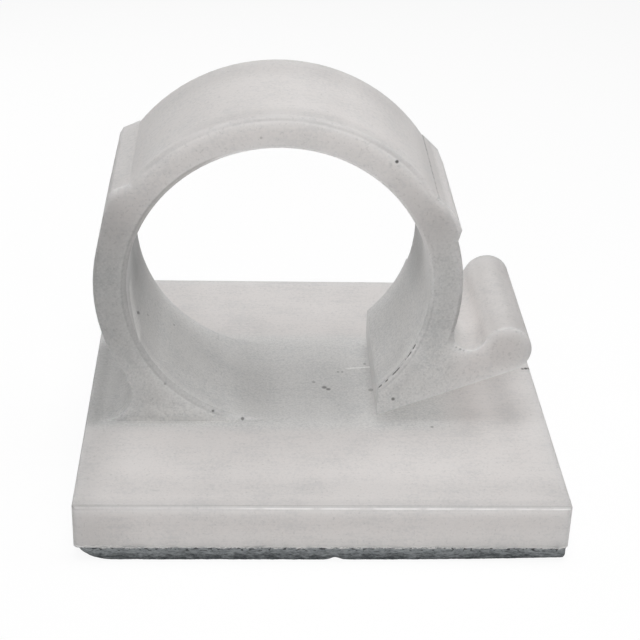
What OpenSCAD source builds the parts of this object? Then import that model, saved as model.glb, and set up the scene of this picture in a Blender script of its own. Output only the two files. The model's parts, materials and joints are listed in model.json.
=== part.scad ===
// Adhesive cable clip: a square base plate on a foam pad, with a springy band that closes over the bundle.
// The band is rooted on the left of the base, runs over the top and ends in a free toe on the right.
// A lever with a beaded end stands out from the toe, so that a finger can lift the band off the base.
// Millimetres, +Z up. The origin is the middle of the pad's underside, the bundle runs along Y.

/* [Base plate] */
// Side of the square base plate
base_side = 25.4; // [22:0.1:40]
// Thickness of the base plate
base_t = 2.5; // [2:0.1:6]
// Radius of the base plate's upright corners
base_corner_r = 0.3; // [0.2:0.05:2]
// Radius along the base plate's top edges
base_edge_r = 0.15; // [0.1:0.05:0.3]

/* [Foam pad] */
// Thickness of the foam pad
pad_t = 0.8; // [0.4:0.1:3]
// How far the pad stops short of each side of the base plate
pad_inset = 0.05; // [0:0.05:1]
// Radius of the pad's three cut corners
pad_corner_r = 0.4; // [0.2:0.1:2]
// Radius of the pad's worn front left corner
pad_worn_r = 1.7; // [0.4:0.1:4]

/* [Band] */
// Bore of the closed band
bore_d = 16; // [12:0.1:18]
// Wall of the band
band_t = 1.75; // [1.2:0.05:2.3]
// Width of the band along the bundle
band_w = 9; // [5:0.1:18]
// Radius along the band's rims
band_edge_r = 0.3; // [0.1:0.05:0.5]
// Distance of the bore from the middle of the base, toward the root
bore_shift = 2.3; // [1:0.1:4]
// Radius of the fillet between the band's root and the base
root_r = 1.7; // [0.5:0.1:2]

/* [Catch ridges] */
// Height of the ridge on the root side of the band
root_ridge_h = 0.5; // [0.2:0.05:0.8]
// Angle of that ridge's crest above the horizontal
root_ridge_a = 32; // [20:1:50]
// Arc that the blunt crest of that ridge takes up
root_ridge_crest = 2; // [1:0.5:6]
// Arc that the steep upper flank of that ridge takes up
root_ridge_flank = 5; // [4:1:15]
// Height of the ridge on the lever side of the band
lever_ridge_h = 0.35; // [0.2:0.05:0.8]
// Angle of that ridge's crest above the horizontal
lever_ridge_a = 24; // [15:1:50]
// Arc that the flat crest of that ridge takes up
lever_ridge_crest = 5.5; // [2:0.5:8]
// Arc that the upper flank of that ridge takes up
lever_ridge_flank = 7; // [4:1:15]
// Arc that the steep lower flank of that ridge takes up
lever_ridge_step = 3; // [2:0.5:8]

/* [Toe and lever] */
// Angle of the toe's end below the horizontal, seen from the bore
toe_a = 46.6; // [35:0.1:55]
// Gap between the toe and the base
toe_gap = 0.45; // [0.2:0.05:0.8]
// How far the lever stands out past the band
lever_reach = 3.95; // [3.3:0.05:5.5]
// Diameter of the bead at the lever's end
bead_d = 2.65; // [2.2:0.05:3]
// Height of the bead's middle above the base
bead_h = 4.6; // [4.3:0.05:5.2]
// Height of the bottom of the groove between the band and the bead above the base
groove_h = 4.55; // [3.8:0.05:5]

/* [Hidden] */
$fn = 96;
nylon = [0.83, 0.82, 0.81];
foam = [0.38, 0.40, 0.40];

bore_r = bore_d / 2;
band_r = bore_r + band_t;
base_top = pad_t + base_t;
bore_x = -bore_shift;
bore_z = base_top + bore_r;
mid_r = bore_r + band_t / 2;

// Heights in the band's section are measured from the bore's axis, so the base's top is at -bore_r.
floor_y = -bore_r;
toe_x = bore_r * cos(toe_a);
toe_y = floor_y + toe_gap;
bead_r = bead_d / 2;
bead = [band_r + lever_reach - bead_r, floor_y + bead_h];

// The lever's underside is the line from the toe's lower corner that touches the bead from below.
under = bead - [toe_x, toe_y];
under_a = atan2(under.y, under.x) - asin(bead_r / norm(under));
under_end = bead + bead_r * [sin(under_a), -cos(under_a)];

// The groove's circle touches the band and the bead, and its lowest point is at the groove's height.
groove_y = floor_y + groove_h;
band_rise = band_r - groove_y;
bead_rise = bead.y + bead_r - groove_y;
apart = norm(bead) ^ 2 - (band_r - bead_r) ^ 2;
groove_x = (band_rise * bead.x - sqrt(band_rise * bead_rise * apart)) / (band_rise - bead_rise);
groove_r = (groove_x ^ 2 + groove_y ^ 2 - band_r ^ 2) / (2 * band_rise);
groove = [groove_x, groove_y + groove_r];
groove_on_band = groove * band_r / (band_r + groove_r);
groove_on_bead = bead + (groove - bead) * bead_r / (bead_r + groove_r);

// The root's fillet touches the base's top and the outside of the band, and reaches into the band's wall.
root_x = -sqrt((band_r + root_r) ^ 2 - (bore_r - root_r) ^ 2);
root_touch = [root_x, floor_y + root_r] * band_r / (band_r + root_r);
root_inner = root_touch * mid_r / band_r;
root_apex = [-sqrt(mid_r ^ 2 - bore_r ^ 2), floor_y];

function polar(r, a) = [r * cos(a), r * sin(a)];

// A square of the given side with four rounded corners
module rounded_square(side, r) {
    inner = side / 2 - r;
    square([side, side - 2 * r], center = true);
    square([side - 2 * r, side], center = true);
    for (sx = [-1, 1], sy = [-1, 1])
        translate([sx * inner, sy * inner])
            circle(r);
}

// Puts a section drawn around the bore's axis upright in its place, over the band's width
module across_band() {
    translate([bore_x, 0, bore_z])
        rotate([90, 0, 0])
            linear_extrude(band_w, center = true)
                children();
}

// Upright section of the base plate, with its two top corners rounded
module plate_section() {
    shoulder = base_side / 2 - base_edge_r;
    translate([-base_side / 2, 0])
        square([base_side, base_t - base_edge_r]);
    translate([-shoulder, 0])
        square([2 * shoulder, base_t]);
    for (side = [-1, 1])
        translate([side * shoulder, base_t - base_edge_r])
            circle(base_edge_r);
}

// Base plate: its plan crossed with its section both ways, so that the top edges are rounded all round
module base_plate() {
    translate([0, 0, pad_t])
        intersection() {
            linear_extrude(base_t)
                rounded_square(base_side, base_corner_r);
            rotate([90, 0, 0])
                linear_extrude(2 * base_side, center = true)
                    plate_section();
            rotate([90, 0, 90])
                linear_extrude(2 * base_side, center = true)
                    plate_section();
        }
}

// Ring of the band with rounded rims, before the mouth is cut
module ring() {
    flat_t = band_t - 2 * band_edge_r;
    flat_w = band_w - 2 * band_edge_r;
    translate([bore_x, 0, bore_z])
        rotate([90, 0, 0])
            rotate_extrude()
                translate([mid_r, 0]) {
                    square([band_t, flat_w], center = true);
                    square([flat_t, band_w], center = true);
                    for (sx = [-1, 1], sy = [-1, 1])
                        translate([sx * flat_t / 2, sy * flat_w / 2])
                            circle(band_edge_r);
                }
}

// Opening between the toe and the base, from the bottom of the bore out past the lever
module mouth_section() {
    far_x = 2 * band_r + lever_reach;
    far_y = toe_y + (far_x - toe_x) * tan(under_a);
    polygon([[0, floor_y], [far_x, floor_y], [far_x, far_y], [toe_x, toe_y], [toe_x, 0], [0, 0]]);
}

// Ridge on the root side: a steep flank above its crest and a face below it that runs out along the band
module root_ridge_section() {
    high = 180 - root_ridge_a - root_ridge_crest / 2;
    low = 180 - root_ridge_a + root_ridge_crest / 2;
    run_out = low + acos(band_r / (band_r + root_ridge_h));
    polygon([
        polar(mid_r, high - root_ridge_flank),
        polar(band_r, high - root_ridge_flank),
        polar(band_r + root_ridge_h, high),
        polar(band_r + root_ridge_h, low),
        polar(band_r, run_out),
        polar(mid_r, run_out)
    ]);
}

// Ridge on the lever side: a flat crest with a long flank above it and a step below it
module lever_ridge_section() {
    high = lever_ridge_a + lever_ridge_crest / 2;
    low = lever_ridge_a - lever_ridge_crest / 2;
    polygon([
        polar(mid_r, high + lever_ridge_flank),
        polar(band_r, high + lever_ridge_flank),
        polar(band_r + lever_ridge_h, high),
        polar(band_r + lever_ridge_h, low),
        polar(band_r, low - lever_ridge_step),
        polar(mid_r, low - lever_ridge_step)
    ]);
}

// Fillet in the wedge between the band's root and the base
module root_section() {
    difference() {
        polygon([[root_x, floor_y], root_apex, root_inner, root_touch]);
        translate([root_x, floor_y + root_r])
            circle(root_r);
    }
}

// Toe and lever, with the bead at the lever's end and the groove between it and the band
module lever_section() {
    difference() {
        union() {
            polygon([
                [toe_x, toe_y],
                under_end,
                bead,
                groove_on_bead,
                groove_on_band,
                [toe_x, groove_on_band.y]
            ]);
            translate(bead)
                circle(bead_r);
        }
        circle(bore_r);
        translate(groove)
            circle(groove_r);
    }
}

// The clip's one moulding
module clip_body() {
    color(nylon) {
        base_plate();
        difference() {
            ring();
            across_band()
                mouth_section();
        }
        across_band()
            lever_section();
        across_band()
            root_ridge_section();
        across_band()
            lever_ridge_section();
        across_band()
            root_section();
    }
}

// Foam pad under the base plate, with its front left corner worn round
module foam_pad() {
    side = base_side - 2 * pad_inset;
    color(foam)
        linear_extrude(pad_t)
            difference() {
                rounded_square(side, pad_corner_r);
                translate([-side / 2, -side / 2])
                    difference() {
                        square(pad_worn_r);
                        translate([pad_worn_r, pad_worn_r])
                            circle(pad_worn_r);
                    }
            }
}

clip_body();
foam_pad();
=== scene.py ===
"""Adhesive cable clip: a natural nylon moulding on a grey foam pad, on a white studio floor."""

import json
import math
from types import SimpleNamespace

import bmesh
import bpy
from mathutils import Matrix, Vector, noise


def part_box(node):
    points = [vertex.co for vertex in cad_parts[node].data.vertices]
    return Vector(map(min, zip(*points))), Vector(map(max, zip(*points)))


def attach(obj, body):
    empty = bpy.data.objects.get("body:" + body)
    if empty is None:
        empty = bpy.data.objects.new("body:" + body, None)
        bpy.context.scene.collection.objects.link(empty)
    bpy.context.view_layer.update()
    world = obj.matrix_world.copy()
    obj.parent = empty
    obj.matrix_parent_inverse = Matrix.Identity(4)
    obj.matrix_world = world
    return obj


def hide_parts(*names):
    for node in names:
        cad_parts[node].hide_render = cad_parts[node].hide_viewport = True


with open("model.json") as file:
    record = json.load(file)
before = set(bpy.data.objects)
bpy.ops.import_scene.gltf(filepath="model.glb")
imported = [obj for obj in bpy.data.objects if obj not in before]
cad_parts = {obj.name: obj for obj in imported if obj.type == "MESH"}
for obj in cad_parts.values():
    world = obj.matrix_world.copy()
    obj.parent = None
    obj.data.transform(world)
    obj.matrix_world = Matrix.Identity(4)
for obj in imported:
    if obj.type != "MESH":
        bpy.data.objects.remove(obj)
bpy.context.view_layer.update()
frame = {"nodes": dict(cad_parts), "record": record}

MM = 0.001

# Camera of the photograph, in the part's frame
CAMERA_PLACE = Vector((-4.22, -77.94, 48.91)) * MM
CAMERA_YAW = math.radians(3.219)
CAMERA_PITCH = math.radians(28.098)
CAMERA_ROLL = math.radians(-2.010)
CAMERA_CLIP = (0.001, 10.0)
IMAGE_SIDE = 640
FOCAL_PIXELS = 1570.1
SENSOR = 36.0

# Sizes of the moulding in millimetres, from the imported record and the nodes' boxes
BORE = next(m for m in frame["record"]["mounts"] if m["name"] == "cable_bore")
BORE_X = BORE["pos_m"][0] / MM
BORE_Z = BORE["pos_m"][2] / MM
BORE_R = BORE["dims"]["r_mm"]
BODY_LOW, BODY_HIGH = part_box("clip_body")
FRONT_Y = BODY_LOW.y / MM
BAND_R = BODY_HIGH.z / MM - BORE_Z
BAND_MID_R = (BORE_R + BAND_R) / 2
BASE_TOP = BORE_Z - BORE_R
PAD_LOW, PAD_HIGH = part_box("foam_pad")
PAD_TOP = PAD_HIGH.z / MM

# The rims are round, so the bore's wall stops short of the band's near face by their radius
RIM_R = 0.3
BAND_FRONT_Y = -BORE["dims"]["length_mm"] / 2 - RIM_R

# Distance of the toe's end from the bore's axis, and angles of the lever side's ridge and of its upper foot
TOE_ACROSS = 5.5
RIDGE_ANGLE = 24.0
RIDGE_FOOT_ANGLE = 33.75

# Lamps: name, azimuth and elevation as seen from the clip, side and distance in metres, watts
LAMP_TARGET = Vector((0, 0, 8 * MM))
LAMPS = [
    ("top_key", 0, 90, 0.06, 0.14, 0.1000),
    ("front_wide", 0, 15, 0.20, 0.30, 0.0318),
    ("front_fill", 0, 25, 0.05, 0.08, 0.0205),
    ("right_high", 90, 60, 0.05, 0.08, 0.0131),
    ("back_right", 135, 60, 0.05, 0.08, 0.0050),
    ("back_low", 180, 25, 0.05, 0.08, 0.0042),
    ("back_left_low", 225, 25, 0.05, 0.08, 0.0119),
]

# Floor: half its side in metres, its drop below the pad, its grey to the light and its white to the camera
FLOOR_HALF = 1.5
FLOOR_DROP = 0.005 * MM
FLOOR_PALE = (0.8, 0.8, 0.8, 1)
FLOOR_WHITE = 1.04
FLOOR_WHITE_SHARE = 0.87
WHITE = (1, 1, 1, 1)


def new_material(name):
    """An empty node material, with its tree and its output."""
    material = bpy.data.materials.new(name)
    material.use_nodes = True
    tree = material.node_tree
    tree.nodes.clear()
    return material, tree, tree.nodes.new("ShaderNodeOutputMaterial")


def add(tree, kind, inputs=None, **settings):
    """A node with its settings, and with its inputs set to values or linked to sockets."""
    node = tree.nodes.new(kind)
    for key, value in settings.items():
        setattr(node, key, value)
    for key, value in (inputs or {}).items():
        if isinstance(value, bpy.types.NodeSocket):
            tree.links.new(value, node.inputs[key])
        else:
            node.inputs[key].default_value = value
    return node


def math_node(tree, operation, a, b=0.0):
    """One step of arithmetic on two sockets or numbers."""
    return add(tree, "ShaderNodeMath", {0: a, 1: b}, operation=operation).outputs[0]


def plus(tree, a, b):
    """The sum of two sockets or numbers."""
    return math_node(tree, "ADD", a, b)


def minus(tree, a, b):
    """The difference of two sockets or numbers."""
    return math_node(tree, "SUBTRACT", a, b)


def times(tree, *factors):
    """The product of sockets and numbers."""
    product = factors[0]
    for factor in factors[1:]:
        product = math_node(tree, "MULTIPLY", product, factor)
    return product


def larger(tree, a, b):
    """The larger of two sockets."""
    return math_node(tree, "MAXIMUM", a, b)


def distance(tree, a, b):
    """Length of the vector of two sockets."""
    both = add(tree, "ShaderNodeCombineXYZ", {0: a, 1: b}).outputs[0]
    return add(tree, "ShaderNodeVectorMath", {0: both}, operation="LENGTH").outputs["Value"]


def remap(tree, value, low, high, to_low=0.0, to_high=1.0):
    """A socket's range low..high eased to to_low..to_high, and held there. low may lie above high."""
    if low > high:
        low, high, to_low, to_high = high, low, to_high, to_low
    inputs = {"Value": value, "From Min": low, "From Max": high, "To Min": to_low, "To Max": to_high}
    return add(tree, "ShaderNodeMapRange", inputs, interpolation_type="SMOOTHSTEP").outputs["Result"]


def between(tree, share, none, full):
    """A factor that goes from none to full as a share goes from 0 to 1."""
    return remap(tree, share, 0.0, 1.0, none, full)


def near(tree, value, middle, inner, outer):
    """1 where a socket lies within inner of the middle, easing to 0 at outer."""
    gap = math_node(tree, "ABSOLUTE", minus(tree, value, middle))
    return remap(tree, gap, outer, inner)


def millimetres(tree):
    """The object's own coordinates, in millimetres."""
    place = add(tree, "ShaderNodeTexCoord").outputs["Object"]
    return add(tree, "ShaderNodeVectorMath", {0: place, "Scale": 1 / MM}, operation="SCALE").outputs[0]


def axes(tree, place):
    """The x, y and z sockets of a place."""
    return add(tree, "ShaderNodeSeparateXYZ", {0: place}).outputs[:]


def noise_of(tree, place, per_mm, detail=2.0, roughness=0.5):
    """Soft noise from 0 to 1, with so many waves to the millimetre along x, y and z."""
    scaled = add(tree, "ShaderNodeVectorMath", {0: place, 1: per_mm}, operation="MULTIPLY").outputs[0]
    inputs = {"Vector": scaled, "Scale": 1.0, "Detail": detail, "Roughness": roughness}
    return add(tree, "ShaderNodeTexNoise", inputs).outputs["Fac"]


def blend(tree, share, low, high):
    """A colour between two colours."""
    return add(tree, "ShaderNodeMix", {0: share, 6: low, 7: high}, data_type="RGBA").outputs[2]


def scaled_colour(tree, colour, factor):
    """A colour made lighter or darker by a factor."""
    return add(tree, "ShaderNodeVectorMath", {0: colour, "Scale": factor}, operation="SCALE").outputs[0]


def set_material(piece, material):
    """The piece's one material."""
    piece.data.materials.clear()
    piece.data.materials.append(material)


# Nylon: its two greys, the cooler cast painted on its shaded side, the colour of its painted edge highlight
# and glue line, and the foam smeared on its lower edge
NYLON = (0.690, 0.667, 0.655, 1)
NYLON_DIM = (0.620, 0.606, 0.600, 1)
NYLON_SHADE_COOL = (0.975, 1.0, 1.004)
NYLON_GLINT_AND_GLUE = (0.97, 0.95, 0.93, 1)
NYLON_SMEAR = (0.17, 0.18, 0.185, 1)

# How deep light goes into the nylon, how much of it a shadow lets through, and the surface
NYLON_DEPTH = 2.5 * MM
NYLON_PASSES = 0.7
NYLON_IOR = 1.53
NYLON_ROUGHNESS = (0.45, 0.58)
NYLON_SOFT_EDGE = 0.08 * MM
NYLON_BUMP = 0.15
NYLON_BUMP_DEPTH = 0.02 * MM

# Noise on the nylon, in waves to the millimetre along x, y and z
CLOUD_WAVES = (0.5, 0.5, 0.5)
GRAIN_WAVES = (4.5, 4.5, 4.5)
STREAK_WAVES = (0.35, 3.0, 7.0)
SPECKLE_WAVES = (9.0, 9.0, 9.0)
DOT_WAVES = (7.0, 7.0, 7.0)
DIRT_WAVES = (3.4, 3.4, 3.4)
PATCH_WAVES = (0.7, 0.7, 0.7)
GLUE_WAVES = (2.2, 2.2, 2.2)

# Shares of that noise in the nylon's grey, and the strength of its speckle in the light and in the shade
CLOUD_SHARE = 0.35
GRAIN_SHARE = 0.40
STREAK_SHARE = 0.25
SPECKLE_LIGHT = 0.10
SPECKLE_SHADE = 0.42

# Painted highlights: a streak on the bore's wall, which slants by so many millimetres a degree, and a thin
# line on the base's top
WALL_HIGHLIGHT_SLOPE = 0.096
WALL_HIGHLIGHT_Y = -1.25
PAINTED_HIGHLIGHT_GAIN = 1.40
BASE_HIGHLIGHT_SLOPE = 0.146
BASE_HIGHLIGHT_Y = 1.10
BASE_HIGHLIGHT_STRENGTH = 0.70

# Dark specks on the moulding: middle in millimetres, radius, strength. The core is the share that is darkest
SPECK_CORE = 0.4
SPECKS = [
    ((3.52, -4.48, 18.74), 0.13, 0.90),
    ((-3.35, -4.50, 19.92), 0.10, 0.30),
    ((-9.90, -2.30, 8.81), 0.14, 0.65),
    ((-9.88, -2.12, 8.72), 0.14, 0.75),
    ((-9.84, -1.94, 8.63), 0.14, 0.65),
    ((-9.46, -0.50, 7.73), 0.11, 0.45),
    ((-8.13, 1.90, 5.82), 0.11, 0.40),
    ((-8.35, -4.50, 5.64), 0.11, 0.35),
    ((-5.76, -4.50, 3.95), 0.12, 0.75),
    ((-4.15, -4.42, 3.42), 0.13, 0.65),
    ((6.25, -4.99, 3.30), 0.12, 0.45),
    ((3.16, -1.05, 3.30), 0.22, 0.35),
    ((2.98, 1.93, 3.30), 0.12, 0.45),
    ((4.06, -4.50, 4.78), 0.14, 0.65),
    ((0.50, -0.80, 3.30), 0.20, 0.60),
    ((0.72, -1.00, 3.30), 0.18, 0.60),
    ((-0.10, -0.20, 3.30), 0.16, 0.30),
    ((1.37, 0.97, 3.30), 0.10, 0.45),
    ((1.62, 0.97, 3.30), 0.10, 0.40),
    ((12.25, 1.48, 3.30), 0.13, 0.70),
    ((12.45, 1.52, 3.30), 0.15, 0.85),
    ((12.65, 1.56, 3.25), 0.15, 0.85),
    # The next three are painted shade: a dark line where the groove's rim meets the near face
    ((7.30, -4.50, 8.04), 0.08, 0.30),
    ((7.53, -4.50, 7.93), 0.09, 0.35),
    ((7.72, -4.50, 7.85), 0.08, 0.25),
]


def moulding_spot(tree):
    """Where a point of the moulding lies, in millimetres, and its angles round the bore, in degrees."""
    place = millimetres(tree)
    x, y, z = axes(tree, place)
    across = minus(tree, x, BORE_X)
    up = minus(tree, z, BORE_Z)
    leftward = times(tree, across, -1.0)
    return SimpleNamespace(
        place=place,
        x=x,
        y=y,
        z=z,
        across=across,
        up=up,
        radius=distance(tree, across, up),
        angle=math_node(tree, "DEGREES", math_node(tree, "ARCTAN2", up, across)),
        left_angle=math_node(tree, "DEGREES", math_node(tree, "ARCTAN2", up, leftward)),
    )


def rim_gap(tree, at, rim_r):
    """Distance from the sharp corner that a rim of the band's near face would have."""
    return distance(tree, minus(tree, at.radius, rim_r), minus(tree, at.y, BAND_FRONT_Y))


def moulding_zones(tree, at):
    """Shares from 0 to 1 that say how far a point belongs to each zone of the moulding."""
    standing = remap(tree, at.z, BASE_TOP, BASE_TOP + 0.4)
    on_face = remap(tree, at.y, BAND_FRONT_Y + 0.3, BAND_FRONT_Y + 0.1)
    off_face = minus(tree, 1.0, on_face)
    bead = times(tree, remap(tree, at.across, 11.2, 11.8), remap(tree, at.z, 6.6, 7.2))
    not_above = remap(tree, at.z, BASE_TOP + 0.3, BASE_TOP + 0.05)
    not_below = remap(tree, at.z, BASE_TOP - 0.3, BASE_TOP - 0.1)
    in_front = remap(tree, at.y, FRONT_Y + 0.2, FRONT_Y + 0.08)
    in_bore = remap(tree, at.radius, BORE_R + 0.25, BORE_R + 0.1)
    bore_rim = remap(tree, rim_gap(tree, at, BORE_R + 0.03), 0.33, 0.17)
    return SimpleNamespace(
        standing=standing,
        on_face=on_face,
        off_face=off_face,
        in_face=near(tree, at.y, BAND_FRONT_Y, 0.05, 0.15),
        on_ring=times(tree, near(tree, at.radius, BAND_MID_R, 1.0, 1.3), standing),
        inside=times(tree, in_bore, remap(tree, at.z, BASE_TOP, BASE_TOP + 0.6)),
        outside=times(tree, remap(tree, at.radius, BAND_R - 0.2, BAND_R - 0.05), off_face, standing),
        inner_rim=times(tree, bore_rim, remap(tree, at.z, BASE_TOP + 0.1, BASE_TOP + 0.5)),
        outer_rim=remap(tree, rim_gap(tree, at, BAND_R), 0.29, 0.13),
        on_top=times(tree, not_above, not_below),
        on_front=times(tree, in_front, remap(tree, at.x, -12.6, -8.5)),
        bead=bead,
        on_bead=times(tree, bead, off_face),
    )


def face_painted_shading(tree, at, zone):
    """Painted shade and light on the band's near face: greyer on its thin sides, paler at its top and on its
    root.
    """
    left, right = at.left_angle, at.angle
    on_face = times(tree, zone.on_ring, zone.on_face)
    root_foot = times(tree, near(tree, at.z, 3.55, 0.35, 1.0), near(tree, at.x, -8.2, 2.6, 4.4))
    return [
        # Left side, from its middle down to the foot of its root
        (-0.21, near(tree, left, 0, 10, 46), zone.on_ring, minus(tree, 1.0, zone.outside)),
        (-0.08, near(tree, left, 0, 15, 50), on_face, remap(tree, at.radius, 8.9, 9.75)),
        (0.09, near(tree, left, -60, 8, 20), on_face),
        (0.08, zone.in_face, root_foot),
        # Right side, by the ridge, above the toe and along the toe's rim
        (-0.08, near(tree, right, 2, 15, 40), on_face),
        (-0.05, near(tree, right, 36, 8, 20), on_face),
        (0.04, near(tree, right, -23, 6, 12), on_face),
        (-0.05, near(tree, right, -37, 5, 10), near(tree, at.radius, 8.4, 0.4, 0.8), zone.on_face),
        # Top
        (0.12, remap(tree, at.z, 15.0, 19.0), zone.on_face),
    ]


def bore_painted_shading(tree, at, zone):
    """Painted shade and light on the bore's wall: paler toward the near rim, greyer on its left and toward
    the far rim.
    """
    left, right = at.left_angle, at.angle
    return [
        # Whole wall
        (0.06, zone.inside),
        (0.12, zone.inside, remap(tree, at.y, 4.5, -4.2)),
        (-0.32, zone.inside, remap(tree, at.y, -3.5, 2.0), remap(tree, at.up, -4.5, -0.5)),
        # Left wall, from its middle down to the root
        (-0.09, zone.inside, near(tree, left, 0, 12, 28)),
        (-0.09, zone.inside, near(tree, left, -1, 9, 16), near(tree, at.y, -0.8, 2.0, 3.2)),
        (-0.04, zone.inside, near(tree, left, -26, 6, 12)),
        (-0.08, zone.inside, near(tree, left, -45, 22, 34), remap(tree, at.y, -2.4, -3.8)),
        (0.04, zone.inside, near(tree, left, -48, 8, 18), remap(tree, at.y, -2.5, 0.0)),
        # Right wall's far part, and the near part of the toe
        (0.05, zone.inside, near(tree, right, 0, 15, 30), remap(tree, at.y, -2.0, 0.0)),
        (-0.08, zone.inside, near(tree, right, -42, 8, 16), remap(tree, at.y, -1.5, -3.5)),
    ]


def outside_painted_shading(tree, at, zone):
    """Painted shade and light on the band's outside: greyer near and far at its top, paler under its overhang
    and on a ridge.
    """
    left, right = at.left_angle, at.angle
    on_ridge = remap(tree, at.radius, BAND_R + 0.05, BAND_R + 0.2)
    return [
        # Far and near part of the top
        (-0.09, zone.outside, remap(tree, at.y, 0.5, 3.5), remap(tree, at.z, 17.0, 19.5)),
        (-0.10, zone.outside, remap(tree, at.y, -2.6, -4.0), near(tree, right, 88, 15, 45)),
        # Lever side, above its ridge and on it
        (0.06, zone.outside, near(tree, right, 55, 11, 20)),
        (0.20, on_ridge, near(tree, right, RIDGE_ANGLE, 3.0, 9.0)),
        # Root side, by its ridge and under its overhang
        (-0.10, zone.outside, near(tree, left, 25, 8, 14), remap(tree, at.y, -1.0, -4.0)),
        (0.18, zone.outside, near(tree, left, -36, 10, 20), remap(tree, at.y, 2.0, -2.0)),
    ]


def rim_painted_shading(tree, at, zone):
    """Painted shade on the near rims: greyer, so that their round edges don't stand out as pale lines."""
    left, right = at.left_angle, at.angle
    return [
        (-0.15, zone.outer_rim, near(tree, right, 87, 44, 54)),
        (-0.14, zone.outer_rim, near(tree, right, 76, 20, 36)),
        (-0.22, zone.outer_rim, near(tree, right, -9, 6, 11)),
        (-0.24, zone.inner_rim, near(tree, left, -10, 65, 85)),
        (-0.05, zone.inner_rim, near(tree, left, -50, 12, 24)),
        (-0.12, zone.inner_rim, near(tree, left, 45, 15, 25)),
        (-0.15, zone.inner_rim, near(tree, right, -30, 18, 35)),
    ]


def base_painted_shading(tree, at, zone):
    """Painted shade and light on the base plate: greyer at the left and along its front edge, paler by the
    toe and in front.
    """
    x, y, z = at.x, at.y, at.z
    edge_gap = distance(tree, minus(tree, y, FRONT_Y + 0.12), minus(tree, z, BASE_TOP))
    return [
        # Left end of the top
        (-0.21, zone.on_top, remap(tree, x, -11.5, -12.3), near(tree, y, -0.4, 3.8, 5.2)),
        (-0.09, zone.on_top, remap(tree, x, -10.5, -12.5)),
        # Top by the root's foot, by the toe's end, under the lever and past the bead
        (0.05, zone.on_top, near(tree, x, -7.5, 2.5, 5.0), near(tree, y, -4.65, 0.15, 0.45)),
        (0.03, zone.on_top, near(tree, x, 3.00, 0.2, 0.5), near(tree, y, -0.3, 3.6, 4.6)),
        (0.11, zone.on_top, near(tree, x, 6.0, 3.0, 5.0), near(tree, y, 0.0, 3.8, 6.0)),
        (0.05, zone.on_top, near(tree, x, 10.8, 1.2, 3.0), near(tree, y, -3.0, 2.0, 4.0)),
        # Top in front of the band and behind it
        (0.06, zone.on_top, remap(tree, x, -11.5, -9.5), near(tree, y, -7.3, 2.0, 4.0)),
        (0.04, zone.on_top, remap(tree, x, -9.0, -5.0), remap(tree, y, 3.5, 5.5)),
        # Painted shade along the front edge, as a soft strip and as a thin line
        (-0.10, zone.on_top, remap(tree, edge_gap, 0.90, 0.10)),
        (-0.24, remap(tree, edge_gap, 0.13, 0.05)),
        # Front
        (0.08, zone.on_front),
        (0.11, zone.on_front, remap(tree, z, 3.0, 0.9)),
    ]


def lever_painted_shading(tree, at, zone):
    """Painted light and shade on the lever: paler on its side, in its groove and on the toe's end, and greyer
    on its bead.
    """
    across, y, z = at.across, at.y, at.z
    groove = times(tree, near(tree, across, 10.6, 0.3, 0.9), near(tree, z, 8.3, 0.7, 1.0))
    toe_end = times(tree, near(tree, across, TOE_ACROSS, 0.02, 0.06), remap(tree, z, 5.48, 5.42))
    lever_side = times(tree, zone.in_face, remap(tree, z, 9.5, 7.5), zone.standing)
    return [
        # Groove, toe's end and side
        (0.09, groove, near(tree, y, -0.3, 1.0, 3.5)),
        (0.22, toe_end, zone.standing, zone.off_face),
        (0.08, lever_side, remap(tree, across, 4.5, 6.5)),
        # Bead
        (-0.15, zone.on_bead),
        (0.05, zone.on_bead, near(tree, y, -0.3, 1.5, 3.5)),
        (0.08, zone.on_bead, remap(tree, across, 12.7, 13.3)),
        (-0.05, zone.bead, zone.on_face),
    ]


def nylon_painted_shading(tree, at):
    """Factor for the light and shade painted on the moulding. Each entry is a change of tone and the shares
    that bound it.
    """
    zone = moulding_zones(tree, at)
    tone = 1.0
    for tones in (face_painted_shading, bore_painted_shading, outside_painted_shading, rim_painted_shading, base_painted_shading, lever_painted_shading):
        for change, *shares in tones(tree, at, zone):
            tone = times(tree, between(tree, times(tree, *shares), 1.0, 1.0 + change), tone)
    return tone


def nylon_specks(tree, at):
    """Factor that darkens the moulding's specks, among them a short line of painted shade at the groove's
    near rim.
    """
    kept = 1.0
    for middle, radius, strength in SPECKS:
        gap = add(tree, "ShaderNodeVectorMath", {0: at.place, 1: middle}, operation="DISTANCE")
        speck = remap(tree, gap.outputs["Value"], SPECK_CORE * radius, radius, 1 - strength, 1.0)
        kept = times(tree, speck, kept)
    return kept


def nylon_creases(tree, at):
    """Factor that darkens the dirt along the toe's near rim and a broken dark line along the ridge's upper
    foot.
    """
    broken = noise_of(tree, at.place, DIRT_WAVES)
    rim = times(
        tree,
        remap(tree, rim_gap(tree, at, BORE_R), 0.07, 0.02),
        near(tree, at.angle, -34.5, 12.5, 14.0),
        remap(tree, broken, 0.48, 0.56, 0.10, 0.85),
    )
    foot = times(
        tree,
        near(tree, at.angle, RIDGE_FOOT_ANGLE, 0.15, 0.6),
        remap(tree, at.radius, BAND_R - 0.2, BAND_R - 0.1),
        remap(tree, broken, 0.35, 0.6, 0.10, 0.45),
    )
    return minus(tree, 1.0, larger(tree, rim, foot))


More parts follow.
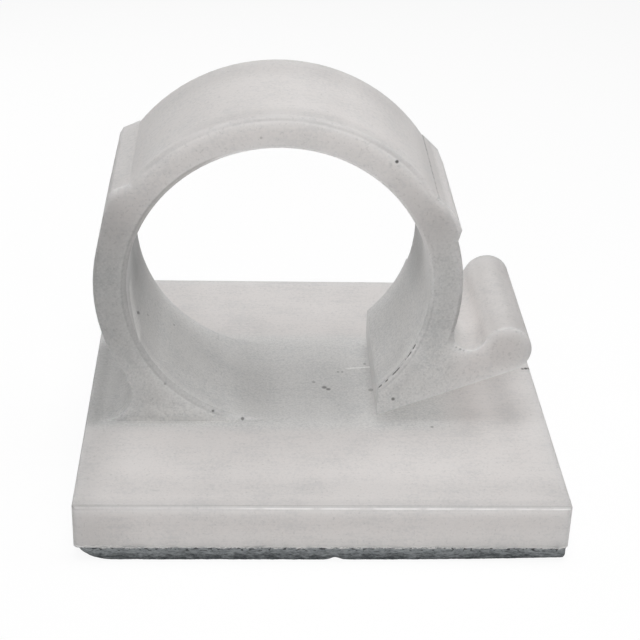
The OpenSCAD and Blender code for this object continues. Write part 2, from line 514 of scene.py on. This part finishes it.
def nylon_painted_highlights(tree, at):
    """Factor that lightens two painted highlights: a streak on the bore's left wall and a thin line across
    the base's top.
    """
    wall_highlight_gap = minus(tree, at.y, plus(tree, times(tree, at.left_angle, WALL_HIGHLIGHT_SLOPE), WALL_HIGHLIGHT_Y))
    wall_highlight = times(
        tree,
        remap(tree, wall_highlight_gap, -1.05, -0.90),
        remap(tree, wall_highlight_gap, 1.6, -0.9),
        near(tree, at.left_angle, -14.0, 7.0, 11.0),
        remap(tree, at.radius, BORE_R + 0.1, BORE_R + 0.05),
    )
    base_highlight_y = plus(tree, times(tree, at.x, BASE_HIGHLIGHT_SLOPE), BASE_HIGHLIGHT_Y)
    base_highlight = times(
        tree,
        near(tree, minus(tree, at.y, base_highlight_y), 0.0, 0.03, 0.10),
        near(tree, at.x, 2.75, 0.6, 1.4),
        remap(tree, at.z, BASE_TOP + 0.2, BASE_TOP + 0.1),
        BASE_HIGHLIGHT_STRENGTH,
    )
    return between(tree, larger(tree, wall_highlight, base_highlight), 1.0, PAINTED_HIGHLIGHT_GAIN)


def nylon_highlight_and_glue(tree, at):
    """Shares of the painted highlight along the base plate's top front edge and of the pale glue line on its
    lower front edge, and of the foam on its lower edge.
    """
    edge_gap = distance(tree, minus(tree, at.y, FRONT_Y + 0.014), minus(tree, at.z, BASE_TOP - 0.087))
    patches = noise_of(tree, at.place, PATCH_WAVES)
    # Painted highlight along the rounded top front edge, broken into patches
    edge = times(
        tree,
        remap(tree, edge_gap, 0.055, 0.02),
        remap(tree, at.x, -6.0, -3.0),
        remap(tree, patches, 0.38, 0.6, 0.15, 0.8),
    )
    wavy = minus(tree, noise_of(tree, at.place, GLUE_WAVES, 3.0, 0.7), 0.5)
    height = plus(tree, at.z, times(tree, wavy, remap(tree, at.x, 6.5, 9.0, 0.22, 0.03)))
    in_front = remap(tree, at.y, FRONT_Y + 0.1, FRONT_Y + 0.05)
    glue = times(tree, near(tree, height, PAD_TOP + 0.07, 0.03, 0.065), in_front)
    smear = times(tree, remap(tree, height, PAD_TOP + 0.03, PAD_TOP + 0.005), in_front)
    return larger(tree, edge, glue), smear


def nylon_colour(tree, at, clouds, grain):
    """The nylon's colour: clouds, grain and drag streaks of two greys, a cooler cast painted on its shaded
    part, then its painted light and shade, marks, painted highlights and glue line.
    """
    streaks = noise_of(tree, at.place, STREAK_WAVES, 3.0, 0.6)
    share = plus(tree, times(tree, clouds, CLOUD_SHARE), times(tree, grain, GRAIN_SHARE))
    share = plus(tree, share, times(tree, streaks, STREAK_SHARE))
    colour = blend(tree, remap(tree, share, 0.34, 0.56), NYLON_DIM, NYLON)

    # Painted shade: a cooler cast on the band's lower part, the bore and the base under the band
    shaded = times(
        tree,
        remap(tree, at.z, 16.0, 12.0),
        near(tree, at.y, 0.0, 4.6, 6.0),
        remap(tree, at.across, 11.0, 8.5),
    )
    cooled_in_shade = add(tree, "ShaderNodeVectorMath", {0: colour, 1: NYLON_SHADE_COOL}, operation="MULTIPLY").outputs[0]
    colour = blend(tree, shaded, colour, cooled_in_shade)

    speckle = minus(tree, noise_of(tree, at.place, SPECKLE_WAVES, 2.0, 0.7), 0.5)
    speckle = times(tree, speckle, between(tree, shaded, SPECKLE_LIGHT, SPECKLE_SHADE))
    tone = times(
        tree,
        remap(tree, noise_of(tree, at.place, DOT_WAVES, 0.0), 0.70, 0.78, 1.0, 0.90),
        plus(tree, speckle, 1.0),
        nylon_painted_shading(tree, at),
        nylon_painted_highlights(tree, at),
        nylon_specks(tree, at),
        nylon_creases(tree, at),
    )
    highlight_and_glue, smear = nylon_highlight_and_glue(tree, at)
    colour = blend(tree, highlight_and_glue, scaled_colour(tree, colour, tone), NYLON_GLINT_AND_GLUE)
    return blend(tree, smear, colour, NYLON_SMEAR)


def nylon_material():
    """Natural nylon: milky, softly matt, with a fine moulded grain and shadows that let light through."""
    material, tree, output = new_material("nylon_natural")
    at = moulding_spot(tree)
    clouds = noise_of(tree, at.place, CLOUD_WAVES, 3.0)
    grain = noise_of(tree, at.place, GRAIN_WAVES, 2.0, 0.6)
    soft = add(tree, "ShaderNodeBevel", {"Radius": NYLON_SOFT_EDGE}, samples=6)
    bump = add(
        tree,
        "ShaderNodeBump",
        {"Height": grain, "Strength": NYLON_BUMP, "Distance": NYLON_BUMP_DEPTH, "Normal": soft.outputs[0]},
    )
    milky = add(
        tree,
        "ShaderNodeBsdfPrincipled",
        {
            "Base Color": nylon_colour(tree, at, clouds, grain),
            "Roughness": remap(tree, clouds, 0.3, 0.7, *NYLON_ROUGHNESS),
            "Normal": bump.outputs[0],
            "IOR": NYLON_IOR,
            "Subsurface Weight": 1.0,
            "Subsurface Radius": (1.0, 1.0, 1.0),
            "Subsurface Scale": NYLON_DEPTH,
        },
    )
    clear = add(tree, "ShaderNodeBsdfTransparent", {"Color": (NYLON_PASSES, NYLON_PASSES, NYLON_PASSES, 1)})
    in_shadow = add(tree, "ShaderNodeLightPath").outputs["Is Shadow Ray"]
    mixed = add(tree, "ShaderNodeMixShader", {0: in_shadow, 1: milky.outputs[0], 2: clear.outputs[0]})
    tree.links.new(mixed.outputs[0], output.inputs["Surface"])
    return material


# Foam: its darkest and lightest grey, and the film of glue on its top
FOAM_DARK = (0.055, 0.062, 0.066, 1)
FOAM_LIGHT = (0.34, 0.36, 0.37, 1)
FOAM_FILM = (0.78, 0.76, 0.74, 1)
FOAM_ROUGHNESS = 0.9
FOAM_BUMP = 0.7
FOAM_BUMP_DEPTH = 0.08 * MM

# Noise on the foam's cut side, in waves to the millimetre along x, y and z
FIBRE_WAVES = (3.2, 3.2, 9.0)
LUMP_WAVES = (1.1, 1.1, 1.1)
PIT_WAVES = (5.0, 5.0, 8.0)


def foam_material():
    """Cut edge of closed-cell foam: slate grey fibres and pits, with painted light that makes it paler toward
    the film of glue on its top.
    """
    material, tree, output = new_material("foam_grey")
    place = millimetres(tree)
    z = axes(tree, place)[2]
    fibres = noise_of(tree, place, FIBRE_WAVES, 4.0, 0.7)
    lumps = times(tree, minus(tree, noise_of(tree, place, LUMP_WAVES), 0.5), 0.25)
    # Painted light: the cut side grows paler toward its top
    share = plus(tree, plus(tree, fibres, remap(tree, z, 0.0, PAD_TOP, -0.11, 0.20)), lumps)
    colour = blend(tree, remap(tree, share, 0.26, 0.80), FOAM_DARK, FOAM_LIGHT)

    pits = remap(tree, noise_of(tree, place, PIT_WAVES, 0.0), 0.60, 0.68)
    pitted = times(tree, pits, remap(tree, z, PAD_TOP - 0.35, PAD_TOP - 0.15))
    colour = scaled_colour(tree, colour, between(tree, pitted, 1.0, 0.25))

    wavy = plus(tree, z, times(tree, minus(tree, fibres, 0.5), 0.35))
    film = times(tree, remap(tree, wavy, PAD_TOP - 0.09, PAD_TOP - 0.04), minus(tree, 1.0, pitted))
    colour = blend(tree, film, colour, FOAM_FILM)

    bump = add(tree, "ShaderNodeBump", {"Height": fibres, "Strength": FOAM_BUMP, "Distance": FOAM_BUMP_DEPTH})
    shader = add(
        tree,
        "ShaderNodeBsdfPrincipled",
        {"Base Color": colour, "Roughness": FOAM_ROUGHNESS, "Normal": bump.outputs[0]},
    )
    tree.links.new(shader.outputs[0], output.inputs["Surface"])
    return material


# The pad's own shape: its cut corners and its worn one, the rows of its side and the inset of its underside
PAD_CUT = 0.35 * MM
PAD_WORN_TOP = 0.6 * MM
PAD_WORN_FOOT = 1.9 * MM
PAD_WORN_CURVE = 0.7
PAD_ROWS = 12
PAD_UNDER_INSET = 0.3 * MM
PAD_TUCK = 0.02 * MM
PAD_TUCK_SHARE = 0.2

# The pad's lower edge: its waves, the nick in front, and the rise toward the right of the front
FOOT_WAVE_H = 0.006 * MM
FOOT_WAVE_L = 1.25 * MM
FOOT_FRONT_L = 3 * MM
NICK_X = 0.67 * MM
NICK_HALF = 0.42 * MM
NICK_H = 0.15 * MM
RISE_H = 0.16 * MM
RISE_START = 0.55

# Grain of the pad's cut side: how far it stands in, and the depth, length and height of two sizes of lumps
GRAIN_IN = 0.018 * MM
GRAIN_COARSE = (0.024 * MM, 0.45 * MM, 0.22 * MM)
GRAIN_FINE = (0.014 * MM, 0.14 * MM, 0.07 * MM)


def side_points(start, end, out, steps):
    """Points and outward directions along a straight side of the pad."""
    for i in range(steps):
        yield start.lerp(end, i / steps), out


def corner_points(centre, radius, start, steps):
    """Points and outward directions along a round corner of the pad that starts at the given angle."""
    for i in range(steps):
        angle = math.radians(start + 90 * i / steps)
        out = Vector((math.cos(angle), math.sin(angle)))
        yield centre + out * radius, out


def pad_outline(worn):
    """The pad's outline from above, anticlockwise from its back left, with the worn corner's radius."""
    west, south, east, north = PAD_LOW.x, PAD_LOW.y, PAD_HIGH.x, PAD_HIGH.y
    cut = PAD_CUT
    yield from side_points(Vector((west, north - cut)), Vector((west, south + worn)), Vector((-1, 0)), 240)
    yield from corner_points(Vector((west + worn, south + worn)), worn, 180, 60)
    yield from side_points(Vector((west + worn, south)), Vector((east - cut, south)), Vector((0, -1)), 560)
    yield from corner_points(Vector((east - cut, south + cut)), cut, 270, 16)
    yield from side_points(Vector((east, south + cut)), Vector((east, north - cut)), Vector((1, 0)), 300)
    yield from corner_points(Vector((east - cut, north - cut)), cut, 0, 16)
    yield from side_points(Vector((east - cut, north)), Vector((west + cut, north)), Vector((0, 1)), 200)
    yield from corner_points(Vector((west + cut, north - cut)), cut, 90, 16)


def pad_foot(point):
    """Height of the pad's lower edge: a little wavy, nicked in front and cut thinner toward the right."""
    wave = FOOT_WAVE_H * (1 + noise.noise(Vector((point.x / FOOT_WAVE_L, point.y / FOOT_WAVE_L, 4.0))))
    in_front = max(0.0, 1 - (point.y - PAD_LOW.y) / FOOT_FRONT_L)
    nick = NICK_H * math.exp(-2 * ((point.x - NICK_X) / NICK_HALF) ** 2) * in_front
    along = (point.x - PAD_LOW.x) / (PAD_HIGH.x - PAD_LOW.x)
    rightward = max(0.0, along - RISE_START) / (1 - RISE_START)
    return PAD_LOW.z + wave + nick + RISE_H * rightward**2 * in_front


def grain_lumps(along, height, lumps, layer):
    """One layer of lumps on the cut side of the pad, from the place along the side and the height."""
    depth, lump_length, lump_height = lumps
    return depth * noise.noise(Vector((along / lump_length, height / lump_height, layer)))


def pad_grain(along, height):
    """How far the cut side of the pad stands out, or in where it is below 0."""
    coarse = grain_lumps(along, height, GRAIN_COARSE, 1.7)
    fine = grain_lumps(along, height, GRAIN_FINE, 8.3)
    return coarse + fine - GRAIN_IN


def pad_row(mesh, share):
    """One row of points round the pad's rough side, at a share of its height."""
    worn = PAD_WORN_FOOT + (PAD_WORN_TOP - PAD_WORN_FOOT) * share**PAD_WORN_CURVE
    tuck = PAD_TUCK * max(0.0, 1 - share / PAD_TUCK_SHARE) ** 2
    row = []
    along = 0.0
    last = None
    for point, out in pad_outline(worn):
        along += (point - last).length if last else 0.0
        last = point
        foot = pad_foot(point)
        height = foot + (PAD_HIGH.z - foot) * share
        place = point + out * (pad_grain(along, height) - tuck)
        row.append(mesh.verts.new((place.x, place.y, height)))
    return row


def pad_under_row(mesh):
    """The row of points on the pad's underside, a little in from its side."""
    row = []
    for point, out in pad_outline(PAD_WORN_FOOT):
        inner = point - out * PAD_UNDER_INSET
        row.append(mesh.verts.new((inner.x, inner.y, pad_foot(point))))
    return row


def join_rows(mesh, low, high):
    """A band of faces between two rows of points."""
    for i in range(len(low)):
        j = (i + 1) % len(low)
        mesh.faces.new((low[i], low[j], high[j], high[i]))


def foam_piece():
    """The foam pad: a thin cut slab with rough sides, a worn corner and an uneven lower edge."""
    mesh = bmesh.new()
    rows = [pad_row(mesh, i / PAD_ROWS) for i in range(PAD_ROWS + 1)]
    for low, high in zip(rows, rows[1:]):
        join_rows(mesh, low, high)
    mesh.faces.new(rows[-1])
    under = pad_under_row(mesh)
    join_rows(mesh, under, rows[0])
    mesh.faces.new(list(reversed(under)))
    for face in mesh.faces:
        face.smooth = len(face.verts) == 4
    data = bpy.data.meshes.new("foam_cut_pad")
    mesh.to_mesh(data)
    mesh.free()
    piece = bpy.data.objects.new("foam_cut_pad", data)
    bpy.context.scene.collection.objects.link(piece)
    set_material(piece, foam_material())
    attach(piece, "root")
    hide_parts("foam_pad")


def add_camera():
    """The camera, at the photograph's place and angle."""
    data = bpy.data.cameras.new("camera")
    data.sensor_width = SENSOR
    data.lens = FOCAL_PIXELS / IMAGE_SIDE * SENSOR
    data.clip_start, data.clip_end = CAMERA_CLIP
    camera = bpy.data.objects.new("camera", data)
    turn = (
        Matrix.Rotation(-CAMERA_YAW, 4, "Z")
        @ Matrix.Rotation(math.pi / 2 - CAMERA_PITCH, 4, "X")
        @ Matrix.Rotation(-CAMERA_ROLL, 4, "Z")
    )
    camera.matrix_world = Matrix.Translation(CAMERA_PLACE) @ turn
    bpy.context.scene.collection.objects.link(camera)
    bpy.context.scene.camera = camera


def add_softbox(name, azimuth, elevation, side, away, watts):
    """A square lamp that looks at the middle of the clip."""
    data = bpy.data.lights.new(name, "AREA")
    data.size = side
    data.energy = watts
    lamp = bpy.data.objects.new(name, data)
    around = math.radians(azimuth)
    above = math.radians(elevation)
    level = math.cos(above)
    direction = Vector((math.sin(around) * level, -math.cos(around) * level, math.sin(above)))
    lamp.location = LAMP_TARGET + direction * away
    lamp.rotation_mode = "QUATERNION"
    lamp.rotation_quaternion = (-direction).to_track_quat("-Z", "Y")
    lamp.visible_camera = False
    bpy.context.scene.collection.objects.link(lamp)


def floor_material():
    """White to the camera apart from a trace of the clip's shadow, and pale to the light."""
    material, tree, output = new_material("studio_floor")
    pale = add(tree, "ShaderNodeBsdfDiffuse", {"Color": FLOOR_PALE})
    white = add(tree, "ShaderNodeEmission", {"Color": WHITE, "Strength": FLOOR_WHITE})
    path = add(tree, "ShaderNodeLightPath").outputs
    seen = larger(tree, path["Is Camera Ray"], path["Is Glossy Ray"])
    seen = times(tree, larger(tree, seen, path["Is Transmission Ray"]), FLOOR_WHITE_SHARE)
    mixed = add(tree, "ShaderNodeMixShader", {0: seen, 1: pale.outputs[0], 2: white.outputs[0]})
    tree.links.new(mixed.outputs[0], output.inputs["Surface"])
    return material


def add_floor():
    """A wide flat floor just under the pad."""
    mesh = bpy.data.meshes.new("studio_floor")
    half = FLOOR_HALF
    corners = [(-half, -half, 0), (half, -half, 0), (half, half, 0), (-half, half, 0)]
    mesh.from_pydata(corners, [], [(0, 1, 2, 3)])
    floor = bpy.data.objects.new("studio_floor", mesh)
    floor.location.z = PAD_LOW.z - FLOOR_DROP
    set_material(floor, floor_material())
    bpy.context.scene.collection.objects.link(floor)


def set_world():
    """A sky that is white to the camera and gives no light."""
    world = bpy.data.worlds.new("studio")
    world.use_nodes = True
    tree = world.node_tree
    tree.nodes.clear()
    seen = add(tree, "ShaderNodeLightPath").outputs["Is Camera Ray"]
    sky = add(tree, "ShaderNodeBackground", {"Color": WHITE, "Strength": seen})
    output = add(tree, "ShaderNodeOutputWorld")
    tree.links.new(sky.outputs[0], output.inputs["Surface"])
    bpy.context.scene.world = world


set_material(frame["nodes"]["clip_body"], nylon_material())
foam_piece()
add_camera()
add_floor()
set_world()
for lamp in LAMPS:
    add_softbox(*lamp)
bpy.context.scene.view_settings.view_transform = "Standard"
